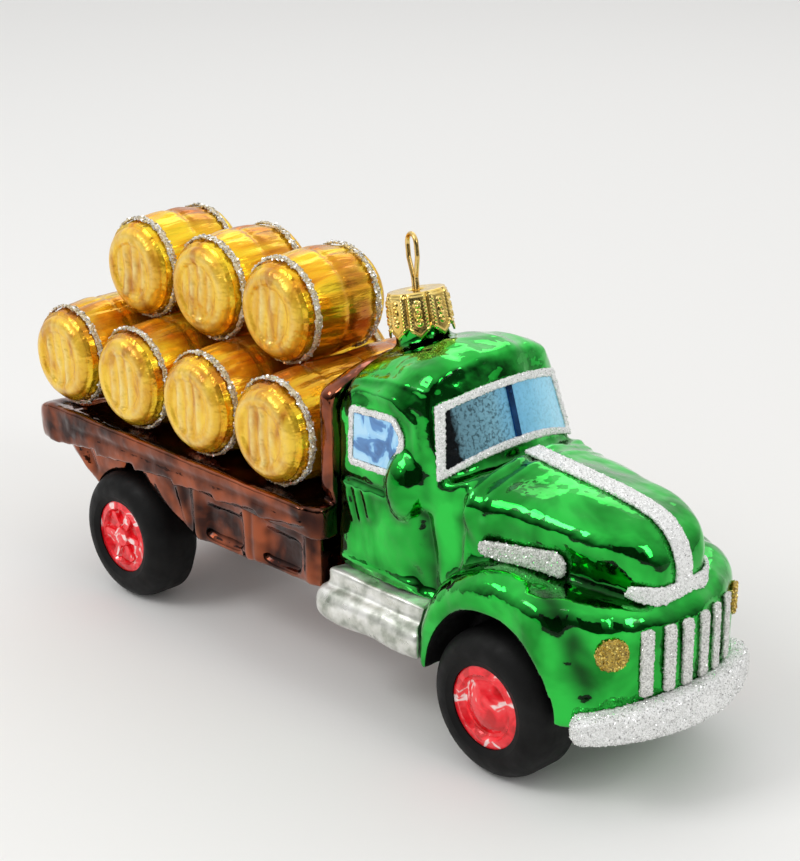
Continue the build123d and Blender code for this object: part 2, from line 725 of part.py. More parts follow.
for name, x, z, side in BARRELS:
    facing = side if side else 1
    shift = BARREL_GAP if side else -BARREL_L / 2
    end_r = INNER_R if side else BARREL_END_R
    lie = Plane((x, facing * shift, z), (1, 0, 0), (0, 0, facing))
    roll = Axis((x, 0, z), (0, 1, 0))
    with BuildPart() as barrel:
        with BuildSketch(lie):
            with BuildLine():
                inner = TangentArc((BARREL_R, BARREL_L / 2), (end_r, 0), tangent=(0, -1))
                outer = TangentArc((BARREL_R, BARREL_L / 2), (BARREL_END_R, BARREL_L), tangent=(0, 1))
                head = Polyline(
                    outer @ 1,
                    (HEAD_R + 0.3, BARREL_L),
                    (HEAD_R, BARREL_L - HEAD_SINK),
                    (0, BARREL_L - HEAD_SINK),
                )
                if side:
                    Polyline(head @ 1, (0, 0), inner @ 1)
                else:
                    Polyline(head @ 1, (0, HEAD_SINK), (HEAD_R, HEAD_SINK), (HEAD_R + 0.3, 0), inner @ 1)
            make_face()
        revolve(axis=roll)
        for end in (facing,) if side else (-1, 1):
            face = abs(facing * shift + facing * BARREL_L) - HEAD_SINK
            with BuildSketch(Plane.XZ.offset(-end * face)):
                with Locations((x, z)):
                    with GridLocations(3.0, 0, 4, 1):
                        Rectangle(0.5, 2 * HEAD_R)
                    Circle(HEAD_R - 0.9, mode=Mode.INTERSECT)
            extrude(amount=end * 0.4, mode=Mode.SUBTRACT)
    finish(barrel.part, name)
    with BuildPart() as ring:
        with BuildSketch(lie):
            for along in (BARREL_L - HOOP_IN,) if side else (HOOP_IN, BARREL_L - HOOP_IN):
                with Locations((BARREL_R - 1.1, along)):
                    RectangleRounded(1.8, HOOP_W, 0.3)
        revolve(axis=roll)
        add(barrel.part, mode=Mode.SUBTRACT)
    hoops.append(ring.part)

with BuildPart() as barrel_hoops:
    add(hoops)
finish(barrel_hoops.part, "barrel_hoops")

# Stamped cap on the neck, with a pointed hem
with BuildPart() as cap:
    with BuildSketch(CAP_SIDE):
        with BuildLine():
            rim_r = CAP_R + CAP_FLARE
            Polyline(
                (0, 0),
                (CAP_R - 0.5, 0),
                (CAP_R, -0.5),
                (rim_r, -CAP_H),
                (rim_r - CAP_WALL, -CAP_H),
                (CAP_R - CAP_WALL, -CAP_WALL),
                (0, -CAP_WALL),
                close=True,
            )
        make_face()
    revolve(axis=CAP_AXIS)
    with BuildSketch(CAP_PLAN):
        Circle(1.3)
    extrude(amount=-2, mode=Mode.SUBTRACT)
    for point in range(CAP_POINTS):
        turn = CAP_PLAN.rotated((0, 0, 360 / CAP_POINTS * (point + 0.5)))
        outward = Plane(CAP_TOP, turn.y_dir, turn.x_dir)
        with BuildSketch(outward.offset(CAP_R - 1.5)):
            with BuildLine():
                Polyline((-2.0, CAP_H + 0.2), (0, CAP_H - CAP_NOTCH), (2.0, CAP_H + 0.2), close=True)
            make_face()
        extrude(amount=4, mode=Mode.SUBTRACT)
finish(cap.part, "cap")

# Spring wire hanger: a loop above the cap, two legs splayed inside the neck
turned = CAP_PLAN.rotated((0, 0, LOOP_TURN))
WIRE_PLANE = Plane(CAP_TOP, turned.x_dir, turned.x_dir.cross(turned.z_dir))
leg = WIRE_D / 2 + 0.18
with BuildPart() as hanger:
    with BuildLine(WIRE_PLANE) as wire:
        half = (LOOP_W - WIRE_D) / 2
        top = LOOP_H - WIRE_D / 2
        FilletPolyline(
            (-2.7, -8.0),
            (-leg, -3.6),
            (-leg, 2.2),
            (-half, 5.6),
            (-half, top),
            (half, top),
            (half, 5.6),
            (leg, 2.2),
            (leg, -3.6),
            (2.7, -8.0),
            radius=(1.0, 1.0, 1.5, half - 0.05, half - 0.05, 1.5, 1.0, 1.0),
        )
    with BuildSketch(Plane(wire.line @ 0, z_dir=wire.line % 0)):
        Circle(WIRE_D / 2)
    sweep(path=wire.line)
finish(hanger.part, "hanger")
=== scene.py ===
import json
import math

import bpy
import numpy as np
from mathutils import Matrix, Vector


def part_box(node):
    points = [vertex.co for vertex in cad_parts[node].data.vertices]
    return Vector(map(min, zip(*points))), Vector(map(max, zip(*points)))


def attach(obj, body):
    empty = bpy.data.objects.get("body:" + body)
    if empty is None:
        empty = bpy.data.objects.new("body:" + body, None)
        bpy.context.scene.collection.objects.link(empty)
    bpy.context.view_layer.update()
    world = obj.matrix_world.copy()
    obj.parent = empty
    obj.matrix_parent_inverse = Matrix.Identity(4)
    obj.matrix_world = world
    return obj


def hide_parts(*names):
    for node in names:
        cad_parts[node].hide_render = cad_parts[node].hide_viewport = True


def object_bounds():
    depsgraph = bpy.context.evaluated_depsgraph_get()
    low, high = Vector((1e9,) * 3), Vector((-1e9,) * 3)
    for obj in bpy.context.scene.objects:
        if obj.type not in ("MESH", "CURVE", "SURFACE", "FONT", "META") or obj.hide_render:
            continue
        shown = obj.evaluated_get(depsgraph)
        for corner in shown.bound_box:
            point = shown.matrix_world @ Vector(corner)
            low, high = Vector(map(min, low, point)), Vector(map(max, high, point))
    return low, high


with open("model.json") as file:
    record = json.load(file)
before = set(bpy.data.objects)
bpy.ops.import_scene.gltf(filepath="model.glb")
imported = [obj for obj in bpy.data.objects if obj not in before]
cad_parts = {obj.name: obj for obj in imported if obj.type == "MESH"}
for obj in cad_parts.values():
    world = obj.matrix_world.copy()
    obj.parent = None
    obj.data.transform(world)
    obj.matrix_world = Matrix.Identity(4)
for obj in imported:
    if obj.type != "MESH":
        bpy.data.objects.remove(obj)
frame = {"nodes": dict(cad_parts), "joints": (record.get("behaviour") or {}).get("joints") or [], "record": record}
cad_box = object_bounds()

MM = 0.001
NODES = frame["nodes"]
BODIES = {node: body for body, names in frame["record"]["behaviour"]["bodies"].items() for node in names}
JOINTS = {joint["name"]: joint for joint in frame["joints"]}


# Mesh tools, all in millimetres
def box_mm(node):
    """A node's lowest and highest corner."""
    low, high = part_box(node)
    return np.array(low) / MM, np.array(high) / MM


def cad_mesh(names):
    """Points and triangles of several CAD nodes together."""
    points, triangles, count = [], [], 0
    for name in names:
        mesh = NODES[name].data
        spots = np.empty(3 * len(mesh.vertices))
        mesh.vertices.foreach_get("co", spots)
        mesh.calc_loop_triangles()
        corners = np.empty(3 * len(mesh.loop_triangles), int)
        mesh.loop_triangles.foreach_get("vertices", corners)
        points.append(spots.reshape(-1, 3) / MM)
        triangles.append(corners.reshape(-1, 3) + count)
        count += len(mesh.vertices)
    return np.concatenate(points), np.concatenate(triangles)


def even_skin(names, voxel):
    """One closed skin of even quads round CAD nodes that touch."""
    points, triangles = cad_mesh(names)
    rough_mesh = bpy.data.meshes.new("rough")
    rough_mesh.from_pydata((points * MM).tolist(), [], triangles.tolist())
    rough = bpy.data.objects.new("rough", rough_mesh)
    bpy.context.scene.collection.objects.link(rough)
    remesh = rough.modifiers.new("even", "REMESH")
    remesh.mode = "VOXEL"
    remesh.voxel_size = voxel * MM
    graph = bpy.context.evaluated_depsgraph_get()
    skin = bpy.data.meshes.new_from_object(rough.evaluated_get(graph))
    spots = np.empty(3 * len(skin.vertices))
    skin.vertices.foreach_get("co", spots)
    corners = np.empty(len(skin.loops), int)
    skin.loops.foreach_get("vertex_index", corners)
    bpy.data.objects.remove(rough)
    bpy.data.meshes.remove(rough_mesh)
    bpy.data.meshes.remove(skin)
    return spots.reshape(-1, 3) / MM, corners.reshape(-1, 4)


def gather(index, values, count):
    """Sum of the values at each index."""
    return np.stack([np.bincount(index, values[:, k], count) for k in range(3)], axis=1)


def smoothed(points, quads, steps):
    """Points eased towards their neighbours, which rounds every edge."""
    sides = np.concatenate([quads[:, [k, (k + 1) % 4]] for k in range(4)])
    sides = np.unique(np.sort(sides, axis=1), axis=0)
    degree = np.bincount(sides.ravel(), minlength=len(points))[:, None]
    for _ in range(steps):
        total = gather(sides[:, 0], points[sides[:, 1]], len(points))
        total += gather(sides[:, 1], points[sides[:, 0]], len(points))
        points = 0.5 * points + 0.5 * total / degree
    return points


def outward(points, quads):
    """The skin's normal at each point."""
    across = points[quads[:, 2]] - points[quads[:, 0]]
    along = points[quads[:, 3]] - points[quads[:, 1]]
    face = np.cross(across, along)
    total = sum(gather(quads[:, k], face, len(points)) for k in range(4))
    return total / np.maximum(np.linalg.norm(total, axis=1, keepdims=True), 1e-9)


def near_line(points, line):
    """Distance from each point to a line through several points."""
    nearest = np.full(len(points), 1e9)
    for start, end in zip(line[:-1], line[1:]):
        a, run = np.array(start, float), np.subtract(end, start).astype(float)
        share = np.clip(((points - a) @ run) / (run @ run), 0, 1)
        nearest = np.minimum(nearest, np.linalg.norm(points - a - share[:, None] * run, axis=1))
    return nearest


# Unevenness is a sum of waves: how many, what the sum is divided by, and the spread of their pitch
WOBBLE_WAVES, WOBBLE_DAMP = 7, 3
WOBBLE_SPREAD = (0.7, 1.4)


def wobble(points, size, seed):
    """Smooth unevenness of about unit height, with swells about size apart."""
    dice = np.random.default_rng(seed)
    total = np.zeros(len(points))
    for _ in range(WOBBLE_WAVES):
        way = dice.normal(size=3)
        way *= 2 * math.pi * dice.uniform(*WOBBLE_SPREAD) / size / np.linalg.norm(way)
        total += np.sin(points @ way + dice.uniform(0, 2 * math.pi))
    return total / WOBBLE_DAMP


def soft_patches(points, mean, spread, pitch, seed):
    """Soft patches from 0 to 1 round a mean, about pitch apart."""
    return np.clip(mean + spread * wobble(points, pitch, seed), 0, 1)


def bell(value):
    """1 at 0, falling off on both sides."""
    return np.exp(-(value**2))


def piece(name, points, faces, looks, stands_for, face_look=None):
    """A new visible piece in place of CAD nodes, riding on their body and kept inside the CAD box."""
    points = np.clip(points, np.array(cad_box[0]) / MM, np.array(cad_box[1]) / MM)
    mesh = bpy.data.meshes.new(name)
    mesh.from_pydata((points * MM).tolist(), [], faces)
    for look in looks:
        mesh.materials.append(look)
    if face_look is not None:
        mesh.polygons.foreach_set("material_index", np.asarray(face_look, np.int32))
    mesh.shade_smooth()
    made = bpy.data.objects.new(name, mesh)
    bpy.context.scene.collection.objects.link(made)
    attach(made, BODIES[stands_for[0]])
    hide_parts(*stands_for)
    return made


def rings_to_quads(rows, count):
    """Quads between neighbouring rings of count points each."""
    quads = []
    for row in range(rows - 1):
        for k in range(count):
            nxt = (k + 1) % count
            quads.append([row * count + k, row * count + nxt, (row + 1) * count + nxt, (row + 1) * count + k])
    return quads


# Materials
SOCKET_NAMES = {"ior": "IOR", "specular_level": "Specular IOR Level"}
WAVER_SCALE = 420


class Look:
    """A material with one Principled shader, and short calls for the nodes that feed it."""

    def __init__(self, name, **values):
        self.material = bpy.data.materials.new(name)
        self.material.use_nodes = True
        self.tree = self.material.node_tree
        self.shader = self.tree.nodes["Principled BSDF"]
        self.place = self.tree.nodes.new("ShaderNodeTexCoord").outputs["Object"]
        for key, value in values.items():
            socket = SOCKET_NAMES.get(key, key.replace("_", " ").title())
            self.shader.inputs[socket].default_value = value

    def stretched(self, scale):
        """The place on the object, stretched along each axis."""
        mapping = self.tree.nodes.new("ShaderNodeMapping")
        mapping.inputs["Scale"].default_value = scale
        self.tree.links.new(self.place, mapping.inputs["Vector"])
        return mapping.outputs["Vector"]

    def noise(self, scale, detail=2.0, stretch=(1, 1, 1), warp=0.0):
        """Soft noise with scale swells to the metre."""
        texture = self.tree.nodes.new("ShaderNodeTexNoise")
        texture.inputs["Scale"].default_value = scale
        texture.inputs["Detail"].default_value = detail
        texture.inputs["Distortion"].default_value = warp
        self.tree.links.new(self.stretched(stretch), texture.inputs["Vector"])
        return texture.outputs["Fac"]

    def along(self, axis, low, high, waver=0.0):
        """Rises from 0 to 1 between two places (mm) along an axis, with a wavering edge."""
        split = self.tree.nodes.new("ShaderNodeSeparateXYZ")
        self.tree.links.new(self.place, split.inputs[0])
        spread = self.tree.nodes.new("ShaderNodeMapRange")
        spread.inputs["From Min"].default_value = low * MM
        spread.inputs["From Max"].default_value = high * MM
        source = split.outputs[axis]
        if waver:
            shift = self.tree.nodes.new("ShaderNodeMath")
            shift.operation = "MULTIPLY_ADD"
            shift.inputs[1].default_value = waver * MM
            self.tree.links.new(self.noise(WAVER_SCALE, 4, warp=1.0), shift.inputs[0])
            self.tree.links.new(source, shift.inputs[2])
            source = shift.outputs[0]
        self.tree.links.new(source, spread.inputs["Value"])
        return spread.outputs["Result"]

    def cells(self, scale, output="Color"):
        """Grains, scale of them to the metre."""
        texture = self.tree.nodes.new("ShaderNodeTexVoronoi")
        texture.inputs["Scale"].default_value = scale
        self.tree.links.new(self.place, texture.inputs["Vector"])
        return texture.outputs[output]

    def ramp(self, source, *stops):
        """Colours or greys at places from 0 to 1 along the source."""
        node = self.tree.nodes.new("ShaderNodeValToRGB")
        while len(node.color_ramp.elements) < len(stops):
            node.color_ramp.elements.new(0.5)
        for element, (place, colour) in zip(node.color_ramp.elements, stops):
            element.position = place
            element.color = (*colour, 1) if isinstance(colour, tuple) else (colour, colour, colour, 1)
        self.tree.links.new(source, node.inputs["Fac"])
        return node.outputs["Color"]

    def mix(self, share, first, second, blend="MIX"):
        """Two colours blended, where each entry is a value or the output of a node."""
        node = self.tree.nodes.new("ShaderNodeMix")
        node.data_type = "RGBA"
        node.blend_type = blend
        for socket, source in zip((node.inputs[0], node.inputs[6], node.inputs[7]), (share, first, second)):
            if isinstance(source, bpy.types.NodeSocket):
                self.tree.links.new(source, socket)
            elif isinstance(source, tuple):
                socket.default_value = (*source, 1)
            else:
                socket.default_value = source
        return node.outputs[2]

    def attribute(self, name):
        """A number that the mesh keeps at each point."""
        node = self.tree.nodes.new("ShaderNodeAttribute")
        node.attribute_name = name
        return node.outputs["Fac"]

    def feed(self, socket, source):
        """Links a node's output to one of the shader's sockets."""
        self.tree.links.new(source, self.shader.inputs[socket])

    def bump(self, height, depth, under=None):
        """Bumps of the given depth in mm, over an earlier bump if there is one."""
        node = self.tree.nodes.new("ShaderNodeBump")
        node.inputs["Strength"].default_value = 1.0
        node.inputs["Distance"].default_value = depth * MM
        self.tree.links.new(height, node.inputs["Height"])
        if under is not None:
            self.tree.links.new(under, node.inputs["Normal"])
        return node.outputs["Normal"]


# Painted shade in a fold keeps this share of the lacquer's brightness, and a painted highlight on a round edge
# gains this much
SHADE_SHARE = 0.12
HIGHLIGHT_GAIN = 0.35


def mirror_lacquer(name, deep, bright, roughness=0.06, swell=0.9):
    """Tinted lacquer over silvered glass: mirror bright, its tint patchy (partly random tone, partly painted
    reflection), with painted shade in folds and painted highlight on round edges.
    """
    look = Look(name, metallic=1.0, coat_weight=0.3, coat_roughness=0.03)
    # Tint patchy between deep and bright: partly random tone of the lacquer, partly painted reflection
    tint = look.ramp(look.noise(100, 3, warp=0.4), (0.36, deep), (0.60, bright))
    painted_shade_colour = tuple(SHADE_SHARE * part for part in deep)
    # Painted highlight colour for round edges: the bright tint lightened
    worn = tuple(min(1.0, part + HIGHLIGHT_GAIN * (1 - part) * part ** 0.5) for part in bright)
    # The thin mark holds painted highlight on round edges; the other mark holds painted shade in folds
    tint = look.mix(look.attribute("thin"), tint, worn)
    look.feed("Base Color", look.mix(look.attribute("painted_shade"), tint, painted_shade_colour))
    low, high = roughness * 0.5, roughness * 1.6
    look.feed("Roughness", look.ramp(look.noise(240, 4), (0.35, low), (0.7, high)))
    waves = look.bump(look.noise(115, 2), swell)
    ripples = look.bump(look.noise(330, 2), swell * 0.14, waves)
    look.feed("Normal", look.bump(look.noise(900, 2), 0.02, ripples))
    return look.material


def barrel_lacquer():
    """Amber lacquer with brown spray along the staves, and ochre paint on the heads."""
    look = Look("amber_lacquer", coat_weight=0.12, coat_roughness=0.1)
    streaks = look.noise(55, 3, stretch=(6, 0.8, 6), warp=0.4)
    amber = look.ramp(
        streaks, (0.32, (0.72, 0.25, 0.006)), (0.45, (1.0, 0.50, 0.010)), (0.60, (1.0, 0.70, 0.025))
    )
    patches = look.ramp(look.noise(70, 3, stretch=(3, 1, 3)), (0.36, 0.25), (0.6, 1.0))
    spray = look.mix(look.attribute("spray"), (0, 0, 0), patches)
    amber = look.mix(spray, amber, (0.50, 0.15, 0.010))
    paint = look.ramp(
        look.noise(210, 4, stretch=(1.4, 1, 0.6), warp=0.6),
        (0.34, (0.56, 0.22, 0.008)),
        (0.46, (0.83, 0.45, 0.024)),
        (0.62, (0.95, 0.61, 0.05)),
    )
    worn = look.ramp(look.noise(420, 3), (0.3, 0.35), (0.6, 1.0))
    pale = look.mix(look.attribute("board"), (0, 0, 0), worn)
    paint = look.mix(pale, paint, (0.90, 0.70, 0.25))
    head = look.attribute("head")
    look.feed("Base Color", look.mix(head, amber, paint))
    look.feed("Metallic", look.ramp(head, (0.0, 0.8), (1.0, 0.4)))
    look.feed("Roughness", look.ramp(head, (0.0, 0.24), (1.0, 0.3)))
    grain = look.bump(look.noise(90, 3, stretch=(5, 0.8, 5)), 0.6)
    look.feed("Normal", look.bump(look.noise(330, 2), 0.14, grain))
    return look.material


def pearl_lacquer():
    """Silver-pearl lacquer on the steps, thin over the green in places."""
    look = Look("pearl_lacquer", metallic=0.6, coat_weight=0.4, coat_roughness=0.15)
    silver = look.ramp(
        look.noise(300, 6),
        (0.32, (0.30, 0.33, 0.27)),
        (0.48, (0.66, 0.67, 0.61)),
        (0.62, (0.88, 0.88, 0.84)),
    )
    look.feed("Base Color", silver)
    look.feed("Roughness", look.ramp(look.noise(330, 4), (0.3, 0.24), (0.7, 0.46)))
    look.feed("Normal", look.bump(look.noise(190, 4), 0.3))
    return look.material


def screen_lacquer():
    """Blue over silver on the windscreen, near black at one edge and light at the other."""
    look = Look("screen_blue", metallic=0.2, coat_weight=0.5, coat_roughness=0.04)
    across = look.along("Y", -16, 14, 3.0)
    blues = look.ramp(
        across,
        (0.18, (0.006, 0.008, 0.010)),
        (0.21, (0.17, 0.34, 0.42)),
        (0.44, (0.26, 0.55, 0.70)),
        (0.58, (0.20, 0.58, 0.88)),
        (0.95, (0.34, 0.76, 0.98)),
    )
    specks = look.ramp(look.noise(1700, 4, warp=0.6), (0.36, 0.25), (0.50, 0.85), (0.62, 1.0))
    thin = look.ramp(look.along("Y", -3, 3, 2.0), (0.0, 0.9), (1.0, 0.25))
    look.feed("Base Color", look.mix(thin, blues, look.mix(1.0, blues, specks, "MULTIPLY")))
    look.feed("Roughness", look.ramp(look.noise(600, 3), (0.35, 0.08), (0.7, 0.24)))
    look.feed("Normal", look.bump(look.noise(240, 2), 0.25))
    return look.material


def window_lacquer():
    """Blue over silver on the side windows, in dark and light patches with a wavy edge: a painted reflection."""
    look = Look("side_blue", metallic=0.35, coat_weight=0.5, coat_roughness=0.05)
    # The dark and light blue patches are painted reflection
    patches = look.ramp(
        look.noise(170, 3, warp=1.6),
        (0.40, (0.06, 0.17, 0.40)),
        (0.49, (0.10, 0.28, 0.60)),
        (0.51, (0.30, 0.62, 0.94)),
        (0.62, (0.46, 0.76, 0.98)),
    )
    look.feed("Base Color", patches)
    look.feed("Roughness", look.ramp(look.noise(600, 3), (0.35, 0.1), (0.7, 0.28)))
    look.feed("Normal", look.bump(look.noise(240, 2), 0.25))
    return look.material


def hub_lacquer():
    """Red lacquer with pinkish-white spots of painted highlight."""
    look = Look("red_lacquer", metallic=0.2, coat_weight=0.4, coat_roughness=0.05)
    # The pinkish-white end of the ramp is painted highlight
    red_and_painted_glints = look.ramp(
        look.noise(240, 2, warp=1.2),
        (0.38, (0.62, 0.002, 0.006)),
        (0.50, (0.94, 0.010, 0.022)),
        (0.61, (0.96, 0.05, 0.06)),
        (0.66, (0.97, 0.72, 0.70)),
    )
    look.feed("Base Color", red_and_painted_glints)
    look.feed("Roughness", look.ramp(look.noise(500, 3), (0.3, 0.1), (0.7, 0.25)))
    look.feed("Normal", look.bump(look.noise(420, 2), 0.35))
    return look.material


def tyre_paint():
    """Dead black paint, a little thinner in places."""
    look = Look("black_paint", ior=1.3)
    look.feed("Base Color", look.ramp(look.noise(150, 4), (0.35, 0.0022), (0.7, 0.0065)))
    look.feed("Roughness", look.ramp(look.noise(420, 3), (0.3, 0.5), (0.7, 0.68)))
    look.feed("Normal", look.bump(look.noise(260, 3), 0.14))
    return look.material


def glitter_bed(name, low, high):
    """The glue bed of the glitter, packed with fine grains."""
    look = Look(name, metallic=0.2, roughness=0.45, coat_weight=0.3, coat_roughness=0.3)
    grains = look.ramp(look.cells(4200), (0.1, low), (0.6, high))
    look.feed("Base Color", grains)
    look.feed("Normal", look.bump(look.cells(3600, "Distance"), 0.10))
    return look.material


def glitter_flake(name, low, high):
    """Bright cut foil, each flake a little different."""
    look = Look(name, metallic=0.75, roughness=0.26)
    look.feed("Base Color", look.ramp(look.cells(2400), (0.2, low), (0.7, high)))
    return look.material


def gold_metal(name, low, high, depth):
    """Bright gold plate with fine handling marks."""
    look = Look(name, metallic=1.0, coat_weight=0.2, coat_roughness=0.1)
    look.feed("Base Color", look.ramp(look.noise(420, 4), (0.35, low), (0.65, high)))
    look.feed("Roughness", look.ramp(look.noise(900, 3), (0.3, 0.14), (0.7, 0.32)))
    look.feed("Normal", look.bump(look.noise(1300, 3), depth))
    return look.material


GREEN = mirror_lacquer("green_lacquer", (0.005, 0.26, 0.020), (0.028, 0.60, 0.066), 0.06, 1.25)
BROWN = mirror_lacquer("brown_lacquer", (0.030, 0.006, 0.003), (0.35, 0.084, 0.032), 0.05, 1.2)
RED = hub_lacquer()
DEEP_BLUE = mirror_lacquer("deep_blue_lacquer", (0.01, 0.05, 0.16), (0.03, 0.14, 0.38), 0.12)
AMBER = barrel_lacquer()
BLACK = tyre_paint()
PEARL = pearl_lacquer()
SCREEN_BLUE = screen_lacquer()
SIDE_BLUE = window_lacquer()
SILVER_BED = glitter_bed("silver_bed", (0.74, 0.75, 0.73), (0.96, 0.96, 0.95))
SILVER_FLAKE = glitter_flake("silver_flake", (0.84, 0.84, 0.82), (0.98, 0.98, 0.97))
GREY_BED = glitter_bed("grey_bed", (0.42, 0.42, 0.39), (0.86, 0.86, 0.82))
HOOP_BED = glitter_bed("hoop_bed", (0.30, 0.19, 0.06), (0.80, 0.70, 0.48))
GOLD_BED = glitter_bed("gold_bed", (0.14, 0.09, 0.01), (0.56, 0.38, 0.05))
GOLD_FLAKE = glitter_flake("gold_flake", (0.62, 0.42, 0.06), (1.0, 0.80, 0.24))
CAP_GOLD = gold_metal("cap_gold", (0.80, 0.53, 0.11), (0.98, 0.74, 0.24), 0.03)
WIRE_GOLD = gold_metal("wire_gold", (0.66, 0.44, 0.12), (0.88, 0.64, 0.24), 0.01)


# Blown glass: one soft skin over the green nodes and one over the brown nodes, with the moulded lines
WINDOW_BROW = (
    (9.6, -16.4, 51.0),
    (9.9, -15.6, 55.6),
    (13, -14.9, 57.2),
    (22.4, -15.9, 57.6),
    (27.4, -16.2, 54.8),
    (28.6, -16.6, 49.4),
)
FENDER_VALLEY = (
    (57.5, -17.4, 35.9),
    (62.7, -19.5, 33.9),
    (65.6, -19.5, 30.1),
    (66.7, -18.8, 26.0),
    (67.8, -17.9, 21.6),
)
MOULDED = (
    # line on the right side, half width, height (mm); the left side has the same; a sunk line also gets painted
    # shade
    (WINDOW_BROW, 0.6, 0.45),
    (((10.4, -13.6, 58.2), (19, -14.2, 60.0), (28.6, -14.6, 60.2)), 0.6, 0.4),
    # Belt line under the window
    (((9.6, -16.4, 41.2), (21.5, -17.0, 41.4)), 0.5, -0.45),
    (((9.6, -16.5, 40.0), (21.0, -17.0, 40.2)), 0.45, 0.4),
    # Louvres
    (((11.6, -16.5, 38.9), (12.4, -16.7, 36.8), (13.2, -16.9, 34.8)), 0.7, 0.45),
    (((13.9, -16.6, 39.2), (14.7, -16.8, 37.2), (15.5, -17.0, 35.0)), 0.7, 0.5),
    (((16.2, -16.7, 39.5), (17.0, -16.9, 37.6), (17.6, -17.0, 35.8)), 0.7, 0.45),
    # Folds at the door's front edge, darkened with painted shade, and its sill
    (((30.4, -16.9, 38.8), (31.8, -17.2, 32.6), (32.4, -17.4, 26.6)), 1.5, -1.3),
    (((28.4, -17.3, 28.4), (30.2, -17.4, 26.8)), 1.8, -0.9),
    (((37.4, -16.4, 40.2), (41.6, -16.8, 35.6)), 1.2, -0.9),
    (((9.4, -17.2, 26.4), (28.5, -17.4, 26.4)), 0.5, 0.45),
    # Two beads across the bonnet's rear end
    (((39.2, -15.6, 42.4), (39.4, -14.4, 45.4), (39.6, -8, 48.0), (39.8, -2.4, 48.9)), 0.5, 0.4),
    (((42.4, -15.2, 41.6), (42.4, -13.8, 45.2), (42.6, -8, 47.7), (42.8, -2.4, 48.6)), 0.5, 0.35),
    # Roof ridges
    (((20, -3.6, 65.2), (25, -3.6, 65.8), (31, -3.8, 64.4)), 1.0, 0.2),
    (((20, -8.2, 64.4), (25, -8.3, 65.0), (30.5, -8.6, 63.4)), 1.0, 0.2),
    (((20, -12.4, 62.6), (25, -12.6, 63.0), (29.5, -12.8, 61.6)), 1.0, 0.2),
    # Hollows of the fender and along the bonnet's flank, darkened with painted shade
    (FENDER_VALLEY, 2.3, -0.9),
    (((48.0, -14.4, 40.4), (58.0, -12.2, 39.4), (66.0, -9.0, 38.0)), 2.4, -0.4),
    (((44.0, -14.9, 38.0), (57.0, -12.7, 36.4), (65.4, -10.4, 35.6), (69.5, -7.9, 34.8)), 1.8, -0.6),
)
RIBS = (
    # line on the right side, half width, height (mm); the left side has the same; a sunk line also gets painted
    # shade
    # Groove along the rail
    (((-62, -22.8, 32.4), (-30, -22.8, 33.0), (6, -22.8, 33.4)), 0.5, -0.5),
    # Ribs and a groove of the side boxes and the tail
    (((-28.4, -19.2, 27.6), (-28.0, -19.2, 19.0)), 0.8, 0.6),
    (((-13.6, -19.2, 28.0), (-13.2, -19.2, 19.4)), 0.9, 0.6),
    (((-11.0, -19.2, 28.0), (-10.8, -19.2, 19.6)), 0.6, 0.5),
    (((3.8, -19.2, 28.4), (4.0, -19.2, 20.2)), 0.9, 0.6),
    (((-33.5, -19.2, 27.0), (-31.4, -19.2, 21.6)), 0.8, 0.5),
    (((-67.5, -19.2, 27.6), (-63, -19.2, 23.4)), 0.7, 0.5),
    (((-63.5, -19.2, 28.0), (-60.5, -19.2, 23.6)), 0.7, -0.5),
    # Edge of the headboard
    (((4.6, -18.2, 54.6), (4.6, -18.2, 37.4)), 0.6, 0.5),
)

# Swells of the glass: how far apart (mm), and their seed
SWELL_PITCH, SWELL_SEED = 9.0, 3
# Easing steps after the lines are pressed in, and for the marks of painted shade and painted highlight
PRESS_EASE, MARK_EASE = 2, 3
# Painted shade darkens where a point lies this far below its neighbours (mm), and painted highlight lightens where
# # it stands out as much, on a skin of the given voxel
HOLLOW_VOXEL = 0.40
HOLLOW_STEPS = 4
SHADE_HOLLOW = 0.07
HIGHLIGHT_ROUND, HIGHLIGHT_FROM = 0.06, 0.5
# Patches of painted shade and of painted highlight: mean, spread, pitch (mm), seed
SHADE_PATCHES = (0.95, 0.45, 4.0, 21)
HIGHLIGHT_PATCHES = (0.6, 0.5, 5.0, 8)
# Room for the wire's legs in the neck under the cap: radius and depth (mm)
BORE_CLEAR = 4.0
BORE_DEEP = 14.0
# Front wheel arch: half length, half height, height of its centre, and how far inside the tyre's face (mm)
WELL_LONG, WELL_HIGH, WELL_Z, WELL_IN = 14.4, 16.0, 13.6, 1.0


def mark(made, name, values):
    """Keeps one number for each point of a piece, for its material."""
    attribute = made.data.attributes.new(name, "FLOAT", "POINT")
    attribute.data.foreach_set("value", values.astype(np.float32).ravel())


def in_bore(points):
    """True inside the neck under the cap, where the wire's legs need their room."""
    up = np.array(JOINTS["cap_turn"]["axis"])
    reach = points - np.array(JOINTS["cap_turn"]["pos_m"]) / MM
    along = reach @ up
    return (np.linalg.norm(reach - np.outer(along, up), axis=1) < BORE_CLEAR) & (along > -BORE_DEEP)


def wheel_well(spots):
    """True inside a front wheel arch, which is painted black there as painted shade."""
    low, high = box_mm("tyre_front_right")
    x = (spots[:, 0] - (low[0] + high[0]) / 2) / WELL_LONG
    z = (spots[:, 2] - WELL_Z) / WELL_HIGH
    return (x * x + z * z < 1) & (np.abs(spots[:, 1]) < -low[1] - WELL_IN)


def shade_and_highlight(points, quads, voxel):
    """Shares of painted shade in hollows and of painted highlight on round edges."""
    hollow = np.einsum("ij,ij->i", smoothed(points, quads, HOLLOW_STEPS) - points, outward(points, quads))
    hollow *= (HOLLOW_VOXEL / voxel) ** 2
    thin = np.clip(-hollow / HIGHLIGHT_ROUND - HIGHLIGHT_FROM, 0, 1) * soft_patches(points, *HIGHLIGHT_PATCHES)
    return np.clip(hollow / SHADE_HOLLOW, 0, 1), thin


